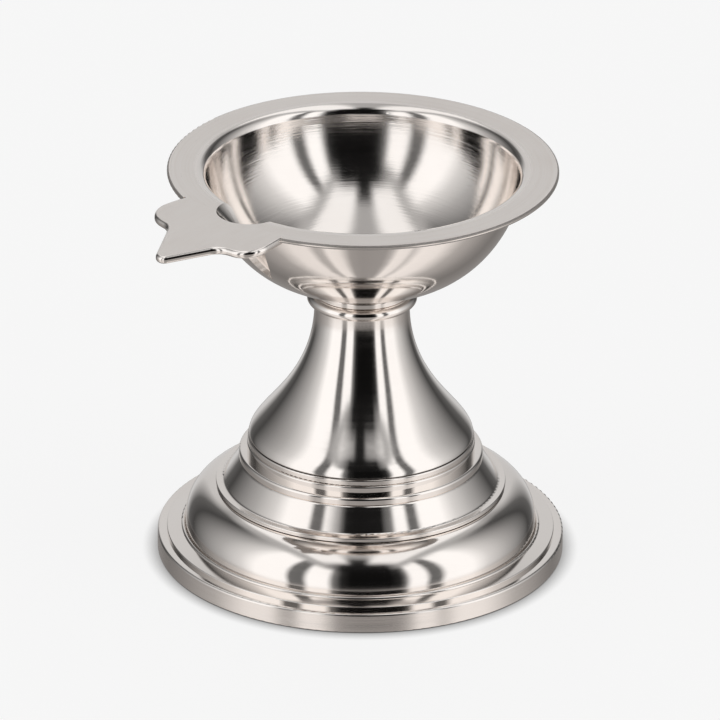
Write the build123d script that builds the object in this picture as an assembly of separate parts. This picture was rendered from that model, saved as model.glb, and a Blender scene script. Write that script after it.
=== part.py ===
from build123d import *
import os
from math import asin, degrees, sqrt

os.makedirs("parts", exist_ok=True)

# A pedestal aarti lamp. Millimetres, +Z up, origin on the lamp's axis at the floor, wick lip towards -Y.

# Metal and fits
sheet = 0.9                    # thickness of every spun shell
sheet_edge_round = 0.35        # rounding of a bare sheet edge
solder_gap = 0.05              # room for solder between round faces that are soldered together
running_gap = 0.05             # room round a piece that turns or slides
bolt_gap = 0.25                # room round the tie rod where it passes through a hole
tilt_limit = 0.5               # rise per unit length below which an edge is level and a face upright

# Stem: a hollow spun bell on a plain band
stem_foot_radius = 22.0
stem_band_height = 1.3
stem_band_round = 0.3
stem_groove_depth = 0.35       # fine shadow line between the band and the bell
stem_groove_height = 0.2
bell_inset = 0.2               # how far the bell stands inside the band
shoulder_pull = 3.7            # length of the bell's curve handle at its foot
neck_pull = 16.3               # length of the curve's handle below the neck
bell_stations = 16             # points that set the curve of the bell's inside
neck_radius = 9.2
neck_straight = 0.5            # straight length of neck above the curve
stem_height = 29.25

# Turned ring under the stem, in two tiers
stem_ring_proud = 0.15         # how far the upper tier shows beyond the stem's band
stem_ring_upper_height = 1.8
stem_ring_upper_round = 0.35
stem_ring_ledge = 1.55         # how far the lower tier shows beyond the upper one
stem_ring_lower_height = 1.4
stem_ring_lower_round = 0.5
stem_ring_width = 7.0          # from the lower tier in to its bore

# Conical step
step_inset = 0.2               # how far the step's top edge stays inside the turned ring
step_flare = 3.2               # how much wider the step is at its bottom
step_height = 5.85
step_top_round = 1.1
step_foot_round = 0.7
step_bore_margin = 1.5         # how far the step's top reaches inside the turned ring's bore
ledge_width = 1.5
ledge_edge_round = 0.2

# Dome
dome_round = 7.4
dome_straight = 1.35           # upright length below the round

# Foot ring, from the dome outwards
foot_bead_radius = 0.4
flange_width = 2.8
flange_rise = 0.3
flange_round = 0.2
flange_step = 0.7              # how high the flange's edge stands above the ledge
foot_ledge = 1.8
band_round = 0.45
band_foot_round = 0.3
band_height = 3.95
dome_seat_width = 2.5          # how far the ring reaches in under the dome's wall

# Closing plate under the base
plate_thickness = 1.0
plate_lap = 3.0                # width of the ring's rebate that the plate sits in

# Tie rod and what it clamps
rod_radius = 2.5
rod_grip = 6.0                 # length screwed into the neck bush
rod_end = 1.5                  # length that shows below the nut
nut_sides = 6
nut_across_flats = 8.0
nut_height = 4.0
washer_radius = 5.0
washer_thickness = 1.0
clamp_plate_radius = 18.0
clamp_plate_thickness = 1.5

# Neck: bush, loose collar and the bowl's foot with its stud
bush_length = 14.0
spigot_radius = 6.0            # upper end of the bush, which the collar turns on
spigot_shortfall = 0.1         # how far the spigot stays below the collar's top
collar_proud = 1.45            # how far the collar's bead stands out from the neck
collar_height = 2.2
bead_flat = 0.1                # flat left on a bead between its two rounds
stud_radius = 4.0
stud_grip = 8.0                # length of the stud below the bowl's foot
stud_end_gap = 0.6
foot_proud = 0.2               # how far the bowl's foot stands out from the neck
foot_lower_ring = 1.15
foot_groove_height = 0.55
foot_groove_depth = 0.5
foot_upper_ring = 1.6
foot_edge_round = 0.2

# Bowl
bowl_floor_margin = 0.75       # flat of the bowl's floor outside its foot
bowl_mouth_radius = 30.35      # inside, where the wall would meet the rim's top
bowl_depth = 21.6              # from the rim's top to the floor inside
bowl_flare = 4.0               # how far above the rim the wall would become upright
rim_width = 7.25
rim_roll = 2.0                 # rounding of the rim's inner edge

# Wick notch in the rim, the funnel under it and the keel that runs on down the bowl's wall
wick_notch_radius = 6.2
funnel_depth = 9.0             # from the rim's top to the funnel's inner tip
funnel_wall = 1.0              # measured level
keel_depth = 18.8              # from the rim's top to the keel's lower end
keel_bow = 1.75                # how far the keel swells out from a straight line
keel_half = 1.7
keel_flat = 0.2                # half width of the keel's blunt edge
keel_slope = 0.7               # depth of the keel's two sloping sides
keel_wall = 0.6
keel_root = 4.0                # depth of the keel's section, enough to pass through the bowl's wall

# Wick lip: reaches are measured out from the rim's edge, half widths from the lip's middle line
lip_thickness = 1.5
lip_root_depth = 3.1           # how far the lip is let into the rim
lip_root_half = 13.4
lip_lobe_half = 14.7
lip_lobe_reach = 6.1
lip_lobe_round = 4.8
lip_notch_half = 6.9
lip_notch_reach = 7.2
lip_notch_round = 4.0
lip_point_reach = 17.9         # where the two straight edges would meet
lip_point_round = 1.8
lip_droop = 8.5                # degrees
lip_bend_radius = 60.0
lip_edge_round = 0.6

# Radii, worked outwards from the stem
stem_ring_upper_radius = stem_foot_radius + stem_ring_proud
stem_ring_radius = stem_ring_upper_radius + stem_ring_ledge
stem_ring_bore = stem_ring_radius - stem_ring_width
step_top_radius = stem_ring_radius - step_inset
step_foot_radius = step_top_radius + step_flare
step_bore = stem_ring_bore - step_bore_margin
ledge_radius = step_foot_radius + ledge_width
dome_radius = step_foot_radius + dome_round
bead_outer_radius = dome_radius + 2 * foot_bead_radius
flange_radius = bead_outer_radius + flange_width
foot_radius = flange_radius + foot_ledge
foot_bore = dome_radius - sheet - dome_seat_width
rebate_radius = foot_bore + plate_lap
rod_hole = rod_radius + bolt_gap
neck_bore = neck_radius - sheet
collar_radius = neck_radius + collar_proud
bowl_foot_radius = neck_radius + foot_proud
bowl_floor_radius = bowl_foot_radius + bowl_floor_margin
rim_radius = bowl_mouth_radius + rim_width

# Heights, worked upwards from the floor
flange_height = band_height + flange_step
dome_seat = flange_height + flange_rise
dome_top = dome_seat + dome_straight + dome_round
ledge_top = dome_top + sheet
step_top = dome_top + step_height
stem_ring_step = step_top + stem_ring_lower_height
stem_bottom = stem_ring_step + stem_ring_upper_height
stem_band_top = stem_bottom + stem_band_height
bell_bottom = stem_band_top + stem_groove_height
stem_top = stem_bottom + stem_height
collar_top = stem_top + collar_height
foot_groove_bottom = collar_top + foot_lower_ring
foot_groove_top = foot_groove_bottom + foot_groove_height
bowl_bottom = foot_groove_top + foot_upper_ring
bowl_floor = bowl_bottom + sheet
rim_top = bowl_floor + bowl_depth
stud_bottom = collar_top - stud_grip
bush_bottom = stem_top - bush_length
clamp_plate_top = dome_top - sheet
washer_top = clamp_plate_top - clamp_plate_thickness
nut_top = washer_top - washer_thickness
nut_bottom = nut_top - nut_height


def turned(outline):
    """Solid turned about the lamp's axis. The closed outline is drawn as (radius, height)."""
    return revolve(Plane.XZ * make_face(outline), Axis.Z)


def spun(line):
    """Sheet shell turned about the axis. The line is its outside, with the metal on the line's left."""
    return turned(offset(line, sheet, side=Side.LEFT))


def ring(inner, outer, bottom, top):
    """Plain ring or, with no inner radius, a plain disc."""
    corners = [(inner, bottom), (outer, bottom), (outer, top), (inner, top)]
    return turned(Polyline(*corners, close=True))


def beaded_ring(inner, outer, bottom, top):
    """Ring whose outer edge is rounded to a bead over its whole height."""
    corners = [(inner, bottom), (outer, bottom), (outer, top), (inner, top)]
    bead = (top - bottom - bead_flat) / 2
    return turned(FilletPolyline(*corners, radius=[0, bead, bead, 0], close=True))


def make_foot_ring():
    """Turned ring with its upright band, narrow ledge, flange and the small bead round the dome."""
    outline = FilletPolyline(
        (bead_outer_radius, dome_seat),
        (flange_radius, flange_height),
        (flange_radius, band_height),
        (foot_radius, band_height),
        (foot_radius, 0),
        (rebate_radius, 0),
        (rebate_radius, plate_thickness),
        (foot_bore, plate_thickness),
        (foot_bore, dome_seat),
        (dome_radius, dome_seat),
        radius=[flange_round, 0, band_round, band_foot_round, 0, 0, 0, 0],
    )
    bead_middle = (dome_radius + foot_bead_radius, dome_seat + foot_bead_radius)
    bead = ThreePointArc((dome_radius, dome_seat), bead_middle, (bead_outer_radius, dome_seat))
    return turned(outline + bead)


def make_base_dome():
    """Spun dome with a flat top, holed for the tie rod."""
    line = FilletPolyline(
        (dome_radius, dome_seat),
        (dome_radius, dome_top),
        (rod_hole, dome_top),
        radius=dome_round,
    )
    return spun(line)


def make_base_step():
    """Spun cone with a narrow ledge at its foot and a flat top."""
    line = FilletPolyline(
        (ledge_radius, ledge_top),
        (step_foot_radius, ledge_top),
        (step_top_radius, step_top),
        (step_bore, step_top),
        radius=[step_foot_round, step_top_round],
    )
    section = make_face(offset(line, sheet, side=Side.LEFT))
    ledge_edge = section.vertices().group_by(Axis.X)[-1]
    return turned(fillet(ledge_edge, ledge_edge_round))


def make_stem_ring():
    """Turned ring in two tiers, with a narrow ledge between them."""
    outline = FilletPolyline(
        (stem_ring_bore, step_top),
        (stem_ring_radius, step_top),
        (stem_ring_radius, stem_ring_step),
        (stem_ring_upper_radius, stem_ring_step),
        (stem_ring_upper_radius, stem_bottom),
        (stem_ring_bore, stem_bottom),
        radius=[0, 0, stem_ring_lower_round, 0, stem_ring_upper_round, 0],
        close=True,
    )
    return turned(outline)


def make_stem():
    """Spun bell on a rounded band, with a shadow groove between the two."""
    bell_radius = stem_foot_radius - bell_inset
    neck_bottom = stem_top - neck_straight
    outside = Bezier(
        (bell_radius, bell_bottom),
        (bell_radius, bell_bottom + shoulder_pull),
        (neck_radius, neck_bottom - neck_pull),
        (neck_radius, neck_bottom),
    )
    shares = [station / bell_stations for station in range(bell_stations + 1)]
    inside_points = [outside @ share + (outside % share).rotate(Axis.Z, 90) * sheet for share in shares]
    inside = Spline(*inside_points, tangents=[outside % 0, outside % 1])
    neck = Polyline(outside @ 1, (neck_radius, stem_top), (neck_bore, stem_top), inside @ 1)
    bell = turned(outside + neck + inside + Line(inside @ 0, outside @ 0))
    band_bore = bell_radius - sheet
    groove_radius = stem_foot_radius - stem_groove_depth
    band_line = FilletPolyline(
        (band_bore, stem_bottom),
        (stem_foot_radius, stem_bottom),
        (stem_foot_radius, stem_band_top),
        (groove_radius, stem_band_top),
        (groove_radius, bell_bottom),
        (band_bore, bell_bottom),
        radius=[0, stem_band_round, stem_band_round, 0, 0, 0],
        close=True,
    )
    return bell + turned(band_line)


def make_neck_bush():
    """Bush in the neck: bored for the stud above and for the tie rod below, with a spigot for the collar."""
    bush_radius = neck_bore - solder_gap
    spigot_top = collar_top - spigot_shortfall
    stud_hole_bottom = stud_bottom - stud_end_gap
    outline = Polyline(
        (rod_radius, bush_bottom),
        (bush_radius, bush_bottom),
        (bush_radius, stem_top),
        (spigot_radius, stem_top),
        (spigot_radius, spigot_top),
        (stud_radius, spigot_top),
        (stud_radius, stud_hole_bottom),
        (rod_radius, stud_hole_bottom),
        close=True,
    )
    return turned(outline)


def make_bowl_foot():
    """Turned foot soldered under the bowl, with one deep groove between two rings."""
    groove_radius = bowl_foot_radius - foot_groove_depth
    outline = FilletPolyline(
        (stud_radius, collar_top),
        (bowl_foot_radius, collar_top),
        (bowl_foot_radius, foot_groove_bottom),
        (groove_radius, foot_groove_bottom),
        (groove_radius, foot_groove_top),
        (bowl_foot_radius, foot_groove_top),
        (bowl_foot_radius, bowl_bottom),
        (stud_radius, bowl_bottom),
        radius=[0, foot_edge_round, foot_edge_round, 0, 0, foot_edge_round, 0, 0],
        close=True,
    )
    return turned(outline)


def bowl_wall_line(inset, top):
    """Curve of the bowl's wall from its floor up to a height, inset from the outside of the sheet."""
    centre_height = rim_top + bowl_flare
    height_radius = centre_height - bowl_bottom
    inside_height_radius = height_radius - sheet
    upright_share = sqrt(1 - (bowl_flare / inside_height_radius) ** 2)
    width_radius = (bowl_mouth_radius - bowl_floor_radius) / upright_share + sheet
    end_angle = degrees(asin((top - centre_height) / (height_radius - inset)))
    return EllipticalCenterArc(
        (bowl_floor_radius, centre_height),
        width_radius - inset,
        height_radius - inset,
        start_angle=-90,
        arc_size=end_angle + 90,
    )


def bowl_outside():
    """Closed outline of the bowl's outside, filled up to the underside of its rim."""
    underside = rim_top - sheet
    wall = bowl_wall_line(0, underside)
    rest = Polyline(wall @ 1, (0, underside), (0, bowl_bottom), wall @ 0)
    return wall + rest


def make_plain_bowl():
    """Spun bowl with its flat rim, before the lip and the wick notch are let into it."""
    underside = rim_top - sheet
    outside = bowl_wall_line(0, underside)
    inside = bowl_wall_line(sheet, rim_top)
    rim = Polyline(outside @ 1, (rim_radius, underside), (rim_radius, rim_top), inside @ 1)
    floor = Polyline(inside @ 0, (0, bowl_floor), (0, bowl_bottom), outside @ 0)
    section = make_face(outside + rim + inside + floor)
    section = fillet(section.vertices().group_by(Axis.X)[-1], sheet_edge_round)
    mouth_corner = section.vertices().sort_by_distance(inside @ 1)[0]
    section = fillet(mouth_corner, rim_roll)
    underside_corner = section.vertices().sort_by_distance(outside @ 1)[0]
    section = fillet(underside_corner, rim_roll - sheet)
    return turned(section)


def funnel(wall, tip_inset):
    """Slanted cone from the wick notch down to a tip in the bowl's wall, grown by a wall's thickness."""
    mouth_radius = wick_notch_radius + wall
    tip_height = rim_top - funnel_depth * mouth_radius / wick_notch_radius
    tip_place = (bowl_wall_line(tip_inset, tip_height) @ 1).X
    tip = Vertex(0, -tip_place, tip_height)
    mouth = Pos(0, -bowl_mouth_radius, rim_top) * Circle(mouth_radius)
    return loft([tip, mouth])


def keel(wall):
    """Ridge with a blunt edge that runs down the bowl's wall from the notch, shrunk by a wall's thickness."""
    tip_height = rim_top - keel_depth
    tip_place = (bowl_wall_line(sheet / 2, tip_height) @ 1).X
    top_place = bowl_mouth_radius + wick_notch_radius - keel_wall
    path = Plane.YZ * SagittaArc((-tip_place, tip_height), (-top_place, rim_top - sheet), keel_bow)
    half = keel_half - wall
    shoulder = wall + keel_slope
    outline = Polyline(
        (-keel_flat, wall),
        (keel_flat, wall),
        (half, shoulder),
        (half, keel_root),
        (-half, keel_root),
        (-half, shoulder),
        close=True,
    )
    start = Plane(path @ 0, x_dir=(1, 0, 0), z_dir=path % 0)
    return sweep(start * make_face(outline), path)


def lip_footprint():
    """Outline of the wick lip seen from above: two round lobes, two soft nicks and a blunt point."""
    root = rim_radius - lip_root_depth
    half = [
        (lip_root_half, -root),
        (lip_lobe_half, -rim_radius - lip_lobe_reach),
        (lip_notch_half, -rim_radius - lip_notch_reach),
    ]
    point = (0, -rim_radius - lip_point_reach)
    mirrored = [(-x, y) for x, y in reversed(half)]
    rounds = [lip_lobe_round, lip_notch_round]
    edge = FilletPolyline(*half, point, *mirrored, radius=[*rounds, lip_point_round, *reversed(rounds)])
    return make_face(edge + Line(mirrored[-1], half[0]))


def make_lip_plate():
    """Plate let into the rim, bent down a little towards its point, with its bare edges rounded."""
    root = rim_radius - lip_root_depth
    bend = JernArc((-root, rim_top), (-1, 0), lip_bend_radius, lip_droop)
    slope = Line(bend @ 1, (bend @ 1) + (bend % 1) * lip_point_reach)
    side_view = make_face(offset(bend + slope, lip_thickness, side=Side.LEFT))
    slab = extrude(Plane.YZ * side_view, lip_lobe_half, both=True)
    plate = slab & extrude(lip_footprint(), rim_top)
    upright_faces = plate.faces().filter_by(lambda face: abs(face.normal_at().Z) < tilt_limit)
    root_face = upright_faces.sort_by(Axis.Y)[-1]
    outline_edges = ShapeList()
    for face in upright_faces - [root_face]:
        outline_edges += face.edges().filter_by(lambda edge: abs((edge % 0).Z) < tilt_limit)
    return fillet(outline_edges, lip_edge_round)


def make_wick_trough(channel, bowl, lip):
    """Funnel under the notch with its keel, closed by the bowl's wall, the rim and the lip."""
    bowl_room = turned(bowl_outside()) + ring(0, rim_radius, rim_top - sheet, rim_top + keel_root)
    return funnel(funnel_wall, 0) + keel(0) - channel - bowl_room - bowl - lip


def make_rod_nut():
    """Hexagon nut on the tie rod."""
    blank = extrude(RegularPolygon(nut_across_flats / 2, nut_sides, major_radius=False), nut_height)
    return Pos(0, 0, nut_bottom) * blank - ring(0, rod_radius + solder_gap, nut_bottom, nut_top)


plain_bowl = make_plain_bowl()
lip_plate = make_lip_plate()
channel = funnel(0, sheet) + keel(keel_wall)
lip_room = sheet + lip_thickness
rim_cut = Pos(0, 0, rim_top - lip_room) * extrude(lip_footprint(), lip_room)

nodes = {
    "foot_ring": make_foot_ring(),
    "bottom_plate": ring(0, rebate_radius - solder_gap, 0, plate_thickness),
    "base_dome": make_base_dome(),
    "base_step": make_base_step(),
    "stem_ring": make_stem_ring(),
    "stem": make_stem(),
    "neck_bush": make_neck_bush(),
    "tie_rod": ring(0, rod_radius - solder_gap, nut_bottom - rod_end, bush_bottom + rod_grip),
    "clamp_plate": ring(rod_hole, clamp_plate_radius, washer_top, clamp_plate_top),
    "lock_washer": ring(rod_hole, washer_radius, nut_top, washer_top),
    "rod_nut": make_rod_nut(),
    "neck_collar": beaded_ring(spigot_radius + running_gap, collar_radius, stem_top, collar_top),
    "bowl_foot": make_bowl_foot(),
    "bowl_stud": ring(0, stud_radius - running_gap, stud_bottom, bowl_bottom),
    "bowl": plain_bowl - rim_cut - channel,
    "wick_lip": lip_plate - channel,
    "wick_trough": make_wick_trough(channel, plain_bowl, lip_plate),
}

for name, solid in nodes.items():
    export_step(solid, f"parts/{name}.step")
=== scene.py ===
from math import cos, pi, radians, sin

import bpy
from mathutils import Matrix, Vector


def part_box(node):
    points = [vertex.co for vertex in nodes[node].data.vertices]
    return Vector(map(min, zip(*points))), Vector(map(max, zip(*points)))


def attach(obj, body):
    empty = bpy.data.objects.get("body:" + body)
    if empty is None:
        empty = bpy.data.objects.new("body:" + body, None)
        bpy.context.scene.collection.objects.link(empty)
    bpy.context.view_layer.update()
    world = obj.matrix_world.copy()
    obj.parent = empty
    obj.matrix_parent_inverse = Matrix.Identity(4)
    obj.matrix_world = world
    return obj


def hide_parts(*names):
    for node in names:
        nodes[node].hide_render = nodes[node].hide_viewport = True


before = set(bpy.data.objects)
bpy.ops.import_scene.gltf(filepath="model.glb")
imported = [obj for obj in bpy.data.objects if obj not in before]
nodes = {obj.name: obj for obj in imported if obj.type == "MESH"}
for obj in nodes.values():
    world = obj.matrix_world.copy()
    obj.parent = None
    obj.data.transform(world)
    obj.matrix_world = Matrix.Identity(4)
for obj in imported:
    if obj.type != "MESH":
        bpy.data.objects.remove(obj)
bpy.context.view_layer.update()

# The photograph's view: azimuth and elevation of the camera, in degrees, and its distance in metres
VIEW_AZIMUTH = 45.3
VIEW_ELEVATION = 24.495
VIEW_DISTANCE = 1.8
VIEW_TARGET = Vector((0, 0, 0.04))
VIEW_SLIDE = (-0.00030937, -0.00049317)   # sideways and upwards, which frames the lamp as photographed
VIEW_ROLL = 0.0077                        # radians
SENSOR = 36.0
LENS = 465.38

azimuth = radians(VIEW_AZIMUTH)
elevation = radians(VIEW_ELEVATION)
VIEW_RIGHT = Vector((cos(azimuth), sin(azimuth), 0))
TO_CAMERA = Vector((sin(azimuth), -cos(azimuth), 0))

# Metals
SILVER = (0.905, 0.859, 0.823)
SILVER_WORN = (0.86, 0.803, 0.762)
# Dark colour of patina in grooves, and of painted shade on the rim's rounds and the foot's bottom edge
PATINA_AND_SHADE = (0.16, 0.14, 0.125)
STEEL = (0.56, 0.555, 0.55)
STEEL_WORN = (0.40, 0.39, 0.38)
BRASS = (0.78, 0.60, 0.28)
BRASS_WORN = (0.55, 0.40, 0.18)

# Finish of the metals
BUMP_DEPTH = 0.00004        # metres
AXIS_SLIP = 0.09            # largest sideways part of a normal that is put right on turned faces
EDGE_MARGIN = 1.3           # how far past an edge round's size its exact normals hold
GROOVE_FEATHER = 0.00008    # metres
SATIN_FEATHER = 0.0001      # metres
SATIN_BUMP = 0.12
RIM_FLAT_INNER = 0.0318     # radius in metres, where the rim's flat top begins
RIM_FLAT_OUTER = 0.0326     # radius where its softer finish is full
SOFT_TOP = 0.42             # roughness of the level tops of the rim and the lip
SMEAR_SCALE = 55.0          # per metre
SMEAR_LIMITS = (0.35, 0.75)
SMEAR_SHARE = 0.45          # share of the worn tone in a full smear
SMEAR_ROUGH = 0.02          # roughness that a full smear adds
PATINA_AND_SHADE_SHARE = 0.85         # share of the dark colour in a band: patina in a groove, painted shade at the foot's bottom edge
RING_TURNS = 0.7            # changes of a tool ring along each radian
SCRATCH_LINES = 2300.0      # spinning lines in the bowl, per metre
SCRATCH_TURNS = 1.6         # changes of a spinning line along each radian

# Backdrop as the camera sees it
BACKDROP = (0.922, 0.922, 0.922)


class Tree:
    """Short ways to add and link shader nodes."""

    def __init__(self, tree):
        self.tree = tree

    def add(self, kind, **settings):
        node = self.tree.nodes.new(kind)
        for name, value in settings.items():
            setattr(node, name, value)
        return node

    def link(self, source, target):
        self.tree.links.new(source, target)

    def feed(self, socket, value):
        if isinstance(value, bpy.types.NodeSocket):
            self.link(value, socket)
        else:
            socket.default_value = value

    def math(self, operation, *values):
        node = self.add("ShaderNodeMath", operation=operation)
        for socket, value in zip(node.inputs, values):
            self.feed(socket, value)
        return node.outputs[0]

    def product(self, a, b):
        return self.math("MULTIPLY", a, b)

    def length(self, a, b):
        return self.math("SQRT", self.math("ADD", self.product(a, a), self.product(b, b)))

    def blend(self, factor, a, b):
        node = self.add("ShaderNodeMix", data_type="FLOAT")
        for socket, value in zip((node.inputs[0], node.inputs[2], node.inputs[3]), (factor, a, b)):
            self.feed(socket, value)
        return node.outputs[0]

    def dot(self, vector, constant):
        node = self.add("ShaderNodeVectorMath", operation="DOT_PRODUCT")
        self.feed(node.inputs[0], vector)
        node.inputs[1].default_value = constant
        return node.outputs["Value"]

    def smooth(self, value, low, high, to_low=0.0, to_high=1.0, kind="SMOOTHSTEP"):
        node = self.add("ShaderNodeMapRange", interpolation_type=kind)
        for socket, given in zip(node.inputs, (value, low, high, to_low, to_high)):
            self.feed(socket, given)
        return node.outputs[0]

    def mix(self, factor, a, b):
        node = self.add("ShaderNodeMix", data_type="RGBA")
        self.feed(node.inputs["Factor"], factor)
        for socket, value in zip([s for s in node.inputs if s.type == "RGBA"], (a, b)):
            self.feed(socket, value if isinstance(value, bpy.types.NodeSocket) else (*value, 1))
        return [s for s in node.outputs if s.type == "RGBA"][0]

    def combine(self, x, y, z):
        node = self.add("ShaderNodeCombineXYZ")
        for socket, value in zip(node.inputs, (x, y, z)):
            self.feed(socket, value)
        return node.outputs[0]

    def split(self, vector):
        node = self.add("ShaderNodeSeparateXYZ")
        self.link(vector, node.inputs[0])
        return node.outputs[0], node.outputs[1], node.outputs[2]

    def choose(self, factor, a, b):
        node = self.add("ShaderNodeMix", data_type="VECTOR")
        for socket, value in zip((node.inputs[0], node.inputs[4], node.inputs[5]), (factor, a, b)):
            self.link(value, socket)
        return node.outputs[1]

    def to_world(self, normal):
        node = self.add("ShaderNodeVectorTransform", vector_type="NORMAL")
        node.convert_from = "OBJECT"
        node.convert_to = "WORLD"
        self.link(normal, node.inputs[0])
        return node.outputs[0]

    def noise(self, vector, scale, detail=2.0, roughness=0.5):
        node = self.add("ShaderNodeTexNoise")
        self.feed(node.inputs["Vector"], vector)
        node.inputs["Scale"].default_value = scale
        node.inputs["Detail"].default_value = detail
        node.inputs["Roughness"].default_value = roughness
        return node.outputs[0]

    def ramp(self, factor, stops, tint):
        node = self.add("ShaderNodeValToRGB")
        elements = node.color_ramp.elements
        while len(elements) > 1:
            elements.remove(elements[-1])
        for index, (place, level) in enumerate(stops):
            element = elements[0] if index == 0 else elements.new(place)
            element.position = place
            element.color = (*(level * share for share in tint), 1)
        self.feed(node.inputs[0], factor)
        return node.outputs[0]


def new_material(name):
    material = bpy.data.materials.new(name)
    material.use_nodes = True
    tree = Tree(material.node_tree)
    shader = material.node_tree.nodes["Principled BSDF"]
    shader.inputs["Metallic"].default_value = 1.0
    return material, tree, shader


def lathe_place(tree):
    """Place, and its radius, height and angle about the lamp's axis, in metres and radians."""
    place = tree.add("ShaderNodeTexCoord").outputs["Object"]
    x, y, z = tree.split(place)
    return place, tree.length(x, y), z, tree.math("ARCTAN2", y, x)


def window(tree, value, low, high, feather):
    """1 between two limits, falling to 0 over a feather outside them."""
    rise = tree.smooth(value, low - feather, low)
    fall = tree.smooth(value, high, high + feather, 1.0, 0.0)
    return tree.product(rise, fall)


def lathe_normal(tree, place, radius):
    """Normal, its outward part and its upward part.

    The normal is put into the plane of the lamp's axis where it nearly lies in it.
    """
    x, y = tree.split(place)[:2]
    x_share = tree.math("DIVIDE", x, radius)
    y_share = tree.math("DIVIDE", y, radius)
    own = tree.add("ShaderNodeTexCoord").outputs["Normal"]
    own_x, own_y, own_z = tree.split(own)
    outward = tree.math("ADD", tree.product(own_x, x_share), tree.product(own_y, y_share))
    around = tree.math("SUBTRACT", tree.product(own_y, x_share), tree.product(own_x, y_share))
    x_part = tree.product(outward, x_share)
    y_part = tree.product(outward, y_share)
    close = tree.math("LESS_THAN", tree.math("ABSOLUTE", around), AXIS_SLIP)
    normal = tree.choose(close, own, tree.combine(x_part, y_part, own_z))
    return tree.to_world(normal), outward, own_z


def rounded_normal(tree, place, radius, height, rounds, normal):
    """Exact normal on small turned rounds, each given as its centre, its size and the sides it faces.

    The second value is 1 on the rounds.
    """
    x, y = tree.split(place)[:2]
    on_round = 0.0
    for centre_radius, centre_height, size, side, level in rounds:
        out = tree.math("SUBTRACT", radius, centre_radius)
        rise = tree.math("SUBTRACT", height, centre_height)
        share = tree.math("DIVIDE", out, radius)
        slope = tree.combine(tree.product(x, share), tree.product(y, share), rise)
        zone = tree.math("LESS_THAN", tree.length(out, rise), size * EDGE_MARGIN)
        zone = tree.product(zone, tree.math("GREATER_THAN", tree.product(out, side), 0.0))
        zone = tree.product(zone, tree.math("GREATER_THAN", tree.product(rise, level), 0.0))
        normal = tree.choose(zone, normal, tree.to_world(slope))
        on_round = tree.math("MAXIMUM", zone, on_round)
    return normal, on_round


def ring_noise(tree, lathe, lines, turns, detail, roughness):
    """Noise drawn out into rings about the lamp's axis, with the count of lines per metre."""
    radius, height, angle = lathe
    place = tree.combine(
        tree.product(radius, lines),
        tree.product(height, lines),
        tree.product(angle, turns),
    )
    return tree.noise(place, 1.0, detail, roughness)


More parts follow.
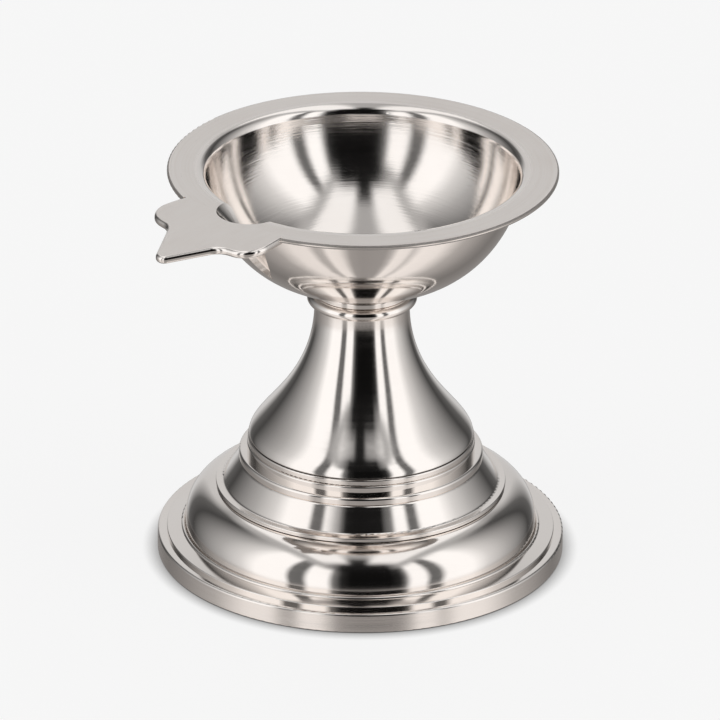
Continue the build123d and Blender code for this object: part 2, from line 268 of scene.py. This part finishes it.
def turned_metal(name, colour, worn, rough, lines, line_bump, anisotropy,
                 patina_and_shade_bands=(), satin=None, hollow=None, rounds=(), edge_rough=None, edge_painted_shade=0.0,
                 level_rough=None, revolved=True):
    """Polished metal turned or spun about the lamp's axis, with fine rings, faint smears, patina in grooves
    and painted shade on some edges.

    lines is the count of tool rings per metre, patina_and_shade_bands holds (lowest, highest) heights that
    carry a dark colour (patina in grooves, painted shade along the foot's bottom edge), satin is (lowest
    radius, lowest height, highest height, roughness) of a more brushed zone, hollow is (roughness, bump,
    anisotropy) of the faces that look inwards, rounds is for rounded_normal, edge_rough is the roughness of
    those rounds and edge_painted_shade their share of painted shade, a dark, less metallic colour that stands
    in for their dark reflection, level_rough is the roughness of the rim's level top, and revolved is False
    where some faces aren't turned.
    """
    material, tree, shader = new_material(name)
    place, radius, height, angle = lathe_place(tree)
    lathe = (radius, height, angle)
    rings = ring_noise(tree, lathe, lines, RING_TURNS, 3.0, 0.6)
    cloud = tree.smooth(tree.noise(place, SMEAR_SCALE, 3.0, 0.55), *SMEAR_LIMITS)
    tone = tree.mix(tree.product(cloud, SMEAR_SHARE), colour, worn)
    for low, high in patina_and_shade_bands:
        dark = window(tree, height, low, high, GROOVE_FEATHER)
        tone = tree.mix(tree.product(dark, PATINA_AND_SHADE_SHARE), tone, PATINA_AND_SHADE)
    if revolved:
        normal, outward, upward = lathe_normal(tree, place, radius)
        normal, on_round = rounded_normal(tree, place, radius, height, rounds, normal)
    # Painted shade on the rounds: a dark colour and less metal stand in for their dark reflection
    if edge_painted_shade:
        painted_shade = tree.product(on_round, edge_painted_shade)
        tone = tree.mix(painted_shade, tone, PATINA_AND_SHADE)
        tree.link(tree.math("SUBTRACT", 1.0, painted_shade), shader.inputs["Metallic"])
    tree.link(tone, shader.inputs["Base Color"])
    share = tree.smooth(rings, 0.3, 0.7, 0.65, 1.4, "LINEAR")
    finish, bump_strength, stretch = rough, line_bump, anisotropy
    if satin:
        inner, low, high, satin_rough = satin
        zone = window(tree, height, low, high, SATIN_FEATHER)
        zone = tree.product(zone, tree.smooth(radius, inner - SATIN_FEATHER, inner))
        finish = tree.blend(zone, rough, satin_rough)
        bump_strength = tree.blend(zone, line_bump, SATIN_BUMP)
    if hollow:
        inner_rough, inner_bump, inner_stretch = hollow
        zone = tree.smooth(outward, -0.02, -0.2)
        scratches = ring_noise(tree, lathe, SCRATCH_LINES, SCRATCH_TURNS, 4.0, 0.65)
        rings = tree.blend(zone, rings, scratches)
        share = tree.smooth(rings, 0.3, 0.7, 0.6, 1.5, "LINEAR")
        finish = tree.blend(zone, rough, inner_rough)
        bump_strength = tree.blend(zone, line_bump, inner_bump)
        stretch = tree.blend(zone, anisotropy, inner_stretch)
    if level_rough:
        on_rim = tree.smooth(radius, RIM_FLAT_INNER, RIM_FLAT_OUTER)
        zone = tree.product(tree.smooth(upward, 0.99, 0.999), on_rim)
        finish = tree.blend(zone, finish, level_rough)
        stretch = tree.blend(zone, stretch, 0.0)
    if edge_rough:
        finish = tree.blend(on_round, finish, edge_rough)
        stretch = tree.blend(on_round, stretch, 0.0)
    roughness = tree.product(share, finish)
    tree.link(tree.math("ADD", roughness, tree.product(cloud, SMEAR_ROUGH)), shader.inputs["Roughness"])
    bump = tree.add("ShaderNodeBump")
    tree.feed(bump.inputs["Strength"], bump_strength)
    bump.inputs["Distance"].default_value = BUMP_DEPTH
    tree.link(rings, bump.inputs["Height"])
    if revolved:
        tree.link(normal, bump.inputs["Normal"])
    tree.link(bump.outputs[0], shader.inputs["Normal"])
    tree.feed(shader.inputs["Anisotropic"], stretch)
    shader.inputs["Anisotropic Rotation"].default_value = 0.25
    tangent = tree.add("ShaderNodeTangent", direction_type="RADIAL", axis="Z")
    tree.link(tangent.outputs[0], shader.inputs["Tangent"])
    return material


def sheet_metal(name, colour, worn, rough, level_rough):
    """Flat polished sheet with faint hand-polishing lines along it and a softer finish on its top."""
    material, tree, shader = new_material(name)
    place = tree.add("ShaderNodeTexCoord").outputs["Object"]
    stretch = tree.add("ShaderNodeMapping")
    stretch.inputs["Scale"].default_value = (900, 110, 900)
    stretch.inputs["Rotation"].default_value = (0, 0, 0.5)
    tree.link(place, stretch.inputs["Vector"])
    lines = tree.noise(stretch.outputs[0], 1.0, 3.0, 0.6)
    cloud = tree.smooth(tree.noise(place, 70.0, 3.0, 0.55), *SMEAR_LIMITS)
    tone = tree.mix(tree.product(cloud, 0.4), colour, worn)
    tree.link(tone, shader.inputs["Base Color"])
    upward = tree.split(tree.add("ShaderNodeTexCoord").outputs["Normal"])[2]
    finish = tree.blend(tree.smooth(upward, 0.95, 0.98), rough, level_rough)
    share = tree.smooth(lines, 0.3, 0.7, 0.8, 1.25, "LINEAR")
    tree.link(tree.product(finish, share), shader.inputs["Roughness"])
    bump = tree.add("ShaderNodeBump")
    bump.inputs["Strength"].default_value = 0.02
    bump.inputs["Distance"].default_value = BUMP_DEPTH
    tree.link(lines, bump.inputs["Height"])
    tree.link(bump.outputs[0], shader.inputs["Normal"])
    return material


def dress(material, *names):
    for name in names:
        slots = nodes[name].data.materials
        slots.clear()
        slots.append(material)


def corner(outer, edge, size, level):
    """Round of an outer edge, from the edge's radius and height in millimetres; level is 1 for a top edge."""
    return ((outer - size) / 1000, (edge - size * level) / 1000, size / 1000, 1, level)


stem_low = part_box("stem")[0].z
foot_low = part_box("foot_ring")[0].z
bowl_foot_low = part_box("bowl_foot")[0].z

# The rounds follow the edges of the solids
bowl_metal = turned_metal(
    "bowl_spun_silver", SILVER, SILVER_WORN,
    rough=0.07, lines=2600.0, line_bump=0.01, anisotropy=0.5,
    hollow=(0.08, 0.45, 0.85),
    rounds=[corner(37.6, 80.0, 0.35, 1), corner(37.6, 79.1, 0.35, -1)],
    edge_rough=0.2,
    # Painted shade: the rim's rounded edges get a dark, less metallic colour that stands in for the dark
    # reflection they show
    edge_painted_shade=0.75,
    level_rough=SOFT_TOP,
)
polished = turned_metal(
    "polished_silver", SILVER, SILVER_WORN,
    rough=0.05, lines=1900.0, line_bump=0.01, anisotropy=0.5,
    rounds=[
        corner(10.65, 54.2, 1.05, 1), corner(10.65, 52.0, 1.05, -1),
        corner(23.7, 20.95, 0.5, 1), corner(22.15, 22.75, 0.35, 1),
    ],
)
dome_metal = turned_metal(
    "base_silver", SILVER, SILVER_WORN,
    rough=0.08, lines=1900.0, line_bump=0.01, anisotropy=0.8,
    rounds=[corner(28.2, 14.6, 0.2, 1), corner(28.2, 13.7, 0.2, -1)],
)
stem_metal = turned_metal(
    "stem_silver", SILVER, SILVER_WORN,
    rough=0.09, lines=1900.0, line_bump=0.01, anisotropy=0.8,
    patina_and_shade_bands=[(stem_low + 0.0013, stem_low + 0.0015)],
    rounds=[corner(22.0, 24.05, 0.3, 1), corner(22.0, 22.75, 0.3, -1)],
)
foot_metal = turned_metal(
    "foot_ring_silver", SILVER, SILVER_WORN,
    rough=0.06, lines=2400.0, line_bump=0.01, anisotropy=0.6,
    # Painted shade: a dark band along the foot's bottom edge stands in for the contact shadow it would
    # reflect; it is no groove
    patina_and_shade_bands=[(foot_low - 0.001, foot_low + 0.00018)],
    satin=(0.0390, foot_low, foot_low + 0.0036, 0.19),
    rounds=[
        corner(39.5, 3.95, 0.45, 1), corner(39.5, 0.0, 0.3, -1), corner(37.7, 4.67, 0.2, 1),
        # Both sides of the bead between the dome and the flange
        (0.0345, 0.00495, 0.0004, 1, 1), (0.0345, 0.00495, 0.0004, -1, 1),
    ],
    edge_rough=0.16,
)
bowl_foot_metal = turned_metal(
    "bowl_foot_silver", SILVER, SILVER_WORN,
    rough=0.05, lines=2400.0, line_bump=0.01, anisotropy=0.5,
    patina_and_shade_bands=[(bowl_foot_low + 0.00115, bowl_foot_low + 0.0017)],
    rounds=[corner(9.4, 54.2, 0.2, -1), corner(9.4, 55.35, 0.2, 1), corner(9.4, 55.9, 0.2, -1)],
)
lip_metal = sheet_metal("lip_silver", SILVER, SILVER_WORN, rough=0.10, level_rough=SOFT_TOP)
steel = turned_metal(
    "plain_steel", STEEL, STEEL_WORN,
    rough=0.30, lines=2500.0, line_bump=0.15, anisotropy=0.4, revolved=False,
)
brass = turned_metal(
    "bush_brass", BRASS, BRASS_WORN,
    rough=0.26, lines=2500.0, line_bump=0.12, anisotropy=0.4,
)

dress(bowl_metal, "bowl")
dress(polished, "neck_collar", "stem_ring")
dress(dome_metal, "base_step", "base_dome")
dress(stem_metal, "stem")
dress(foot_metal, "foot_ring")
dress(bowl_foot_metal, "bowl_foot")
dress(lip_metal, "wick_lip", "wick_trough")
dress(steel, "bowl_stud", "tie_rod", "clamp_plate", "lock_washer", "rod_nut", "bottom_plate")
dress(brass, "neck_bush")


def threaded_stud():
    """Bowl stud with its right-hand screw thread, in the room of the plain stud."""
    low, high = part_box("bowl_stud")
    crest = high.x
    thread_depth = 0.00072
    root = crest - thread_depth
    pitch = 0.00125
    around = 72
    rows_per_pitch = 10
    rows = int((high.z - low.z) / pitch * rows_per_pitch)
    plain_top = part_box("bowl_foot")[0].z
    vertices = []
    faces = []
    for row in range(rows + 1):
        z = low.z + (high.z - low.z) * row / rows
        for step in range(around):
            angle = 2 * pi * step / around
            phase = ((z - low.z) / pitch - step / around) % 1.0
            rise = min(max(abs(phase * 2 - 1) * 1.3 - 0.1, 0), 1)
            end_taper = min((z - low.z) / pitch, 1.0)
            radius = root + (crest - root) * rise * max(end_taper, 0.25)
            if z > plain_top:
                radius = crest
            vertices.append((radius * cos(angle), radius * sin(angle), z))
    for row in range(rows):
        for step in range(around):
            a = row * around + step
            b = row * around + (step + 1) % around
            faces.append((a, b, b + around, a + around))
    faces.append(tuple(reversed(range(around))))
    faces.append(tuple(rows * around + step for step in range(around)))
    mesh = bpy.data.meshes.new("bowl_stud_thread")
    mesh.from_pydata(vertices, [], faces)
    mesh.polygons.foreach_set("use_smooth", [len(f) == 4 for f in faces])
    mesh.materials.append(steel)
    stud = bpy.data.objects.new("bowl_stud_thread", mesh)
    bpy.context.scene.collection.objects.link(stud)
    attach(stud, "bowl")
    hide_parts("bowl_stud")


threaded_stud()


def studio_world():
    """Grey studio with softboxes, set by compass angle from the camera: minus is to its left."""
    world = bpy.data.worlds.new("studio")
    bpy.context.scene.world = world
    world.use_nodes = True
    tree = Tree(world.node_tree)
    direction = tree.add("ShaderNodeTexCoord").outputs["Generated"]
    sideways = tree.dot(direction, VIEW_RIGHT)
    towards = tree.dot(direction, TO_CAMERA)
    compass = tree.math("ARCTAN2", sideways, towards)
    turn = tree.smooth(compass, -pi, pi, 0.0, 1.0, "LINEAR")
    lift = tree.math("ARCSINE", tree.dot(direction, Vector((0, 0, 1))))

    def wall(stops, tint=(1, 1, 1)):
        return tree.ramp(turn, [((angle + 180) / 360, level) for angle, level in stops], tint)

    walls = wall([
        (-180, 0.66), (-160, 0.62), (-148, 0.12), (-136, 0.06), (-122, 0.20), (-100, 0.44), (-82, 0.74),
        (-70, 1.12), (-49, 1.12),                    # left softbox
        (-45, 0.16), (-37, 0.14),                    # gap beside it
        (-33, 1.12), (-21, 1.12),                    # left strip light
        (-17, 0.20), (-12, 0.02), (-6, 0.005), (20, 0.005), (26, 0.02),   # dark side behind the camera
        (29, 0.14), (33, 1.12), (42, 1.12),          # right strip light
        (46, 0.14), (52, 0.16),                      # gap beside it
        (57, 1.12), (77, 1.12),                      # right softbox
        (90, 0.74), (108, 0.44), (126, 0.20), (138, 0.06), (149, 0.12), (162, 0.60), (180, 0.66),
    ])
    above = wall([
        (-180, 0.60), (-150, 0.14), (-130, 0.12), (-100, 0.40), (-28, 0.44), (-14, 0.01), (20, 0.01),
        (32, 0.44), (100, 0.40), (130, 0.12), (150, 0.14), (180, 0.60),
    ])
    ground = wall([
        (-180, 0.30), (-140, 0.20), (-120, 0.26), (-90, 0.42), (-68, 0.85), (-52, 0.88), (-44, 0.46),
        (-38, 0.50), (-33, 0.92), (-22, 0.86), (-12, 0.36), (0, 0.32), (22, 0.34), (28, 0.50), (34, 0.92),
        (43, 0.88), (48, 0.60), (57, 0.94), (76, 0.88), (98, 0.45), (126, 0.26), (140, 0.20), (180, 0.30),
    ], (1.0, 0.955, 0.925))

    # Overhead panels: two long boxes in the ceiling, with a grey strip between them
    up = tree.math("MAXIMUM", tree.dot(direction, Vector((0, 0, 1))), 0.02)
    across = tree.math("DIVIDE", sideways, up)
    along = tree.math("DIVIDE", towards, up)
    left_panel = window(tree, across, -0.34, -0.20, 0.16)
    right_panel = window(tree, across, 0.16, 0.34, 0.16)
    panels = tree.math("ADD", left_panel, right_panel)
    middle = window(tree, across, -0.12, 0.08, 0.06)
    between = tree.smooth(along, 0.12, 0.52, 0.42, 0.03)
    overhead = tree.smooth(panels, 0.0, 1.0, tree.blend(middle, 0.46, between), 1.0)
    overhead_share = window(tree, along, -0.9, 0.42, 0.45)

    higher = tree.mix(overhead_share, above, overhead)
    steep = tree.product(tree.math("ABSOLUTE", sideways), 1.64)
    over_boxes = tree.smooth(tree.math("SUBTRACT", up, steep), -0.16, 0.16)
    raised = tree.smooth(lift, radians(26), radians(44))
    level = tree.mix(tree.product(over_boxes, raised), walls, higher)
    level = tree.mix(tree.smooth(lift, radians(-16), radians(-23), 0.0, 1.0), level, ground)
    seen = tree.mix(tree.add("ShaderNodeLightPath").outputs["Is Camera Ray"], level, BACKDROP)
    tree.link(seen, world.node_tree.nodes["Background"].inputs["Color"])


def studio_floor():
    """Pale floor that keeps a faint contact shadow. The metal reflects the studio through it."""
    half = 4.0             # metres
    below = 0.00005        # metres under the lamp's foot
    shadow_reach = 0.0032  # metres
    mesh = bpy.data.meshes.new("floor")
    corners = [(-half, -half, 0), (half, -half, 0), (half, half, 0), (-half, half, 0)]
    mesh.from_pydata(corners, [], [(0, 1, 2, 3)])
    floor = bpy.data.objects.new("floor", mesh)
    floor.location.z = -below
    bpy.context.scene.collection.objects.link(floor)
    material = bpy.data.materials.new("pale_floor")
    material.use_nodes = True
    tree = Tree(material.node_tree)
    material.node_tree.nodes.remove(material.node_tree.nodes["Principled BSDF"])
    shade = tree.add("ShaderNodeAmbientOcclusion", samples=16)
    shade.inputs["Distance"].default_value = shadow_reach
    open_share = tree.math("POWER", shade.outputs["AO"], 1.3)
    glow = tree.add("ShaderNodeEmission")
    tree.link(tree.mix(open_share, (0.04, 0.037, 0.035), (1, 1, 1)), glow.inputs["Color"])
    matt = tree.add("ShaderNodeBsdfDiffuse")
    matt.inputs["Color"].default_value = (0.9, 0.9, 0.9, 1)
    mixed = tree.add("ShaderNodeMixShader")
    mixed.inputs[0].default_value = 0.16
    tree.link(glow.outputs[0], mixed.inputs[1])
    tree.link(matt.outputs[0], mixed.inputs[2])
    tree.link(mixed.outputs[0], material.node_tree.nodes["Material Output"].inputs["Surface"])
    mesh.materials.append(material)
    floor.visible_glossy = False


def photo_camera():
    lens = bpy.data.cameras.new("photo_view")
    lens.sensor_width = SENSOR
    lens.lens = LENS
    lens.clip_start = 0.01
    camera = bpy.data.objects.new("photo_view", lens)
    forward = -TO_CAMERA * cos(elevation) + Vector((0, 0, -sin(elevation)))
    up = -TO_CAMERA * sin(elevation) + Vector((0, 0, cos(elevation)))
    right = VIEW_RIGHT
    place = VIEW_TARGET - forward * VIEW_DISTANCE + right * VIEW_SLIDE[0] + up * VIEW_SLIDE[1]
    rolled_right = right * cos(VIEW_ROLL) + up * sin(VIEW_ROLL)
    rolled_up = up * cos(VIEW_ROLL) - right * sin(VIEW_ROLL)
    turn = Matrix((rolled_right, rolled_up, -forward)).transposed()
    camera.matrix_world = Matrix.Translation(place) @ turn.to_4x4()
    bpy.context.scene.collection.objects.link(camera)
    bpy.context.scene.camera = camera


studio_world()
studio_floor()
photo_camera()
bpy.context.scene.view_settings.view_transform = "Standard"
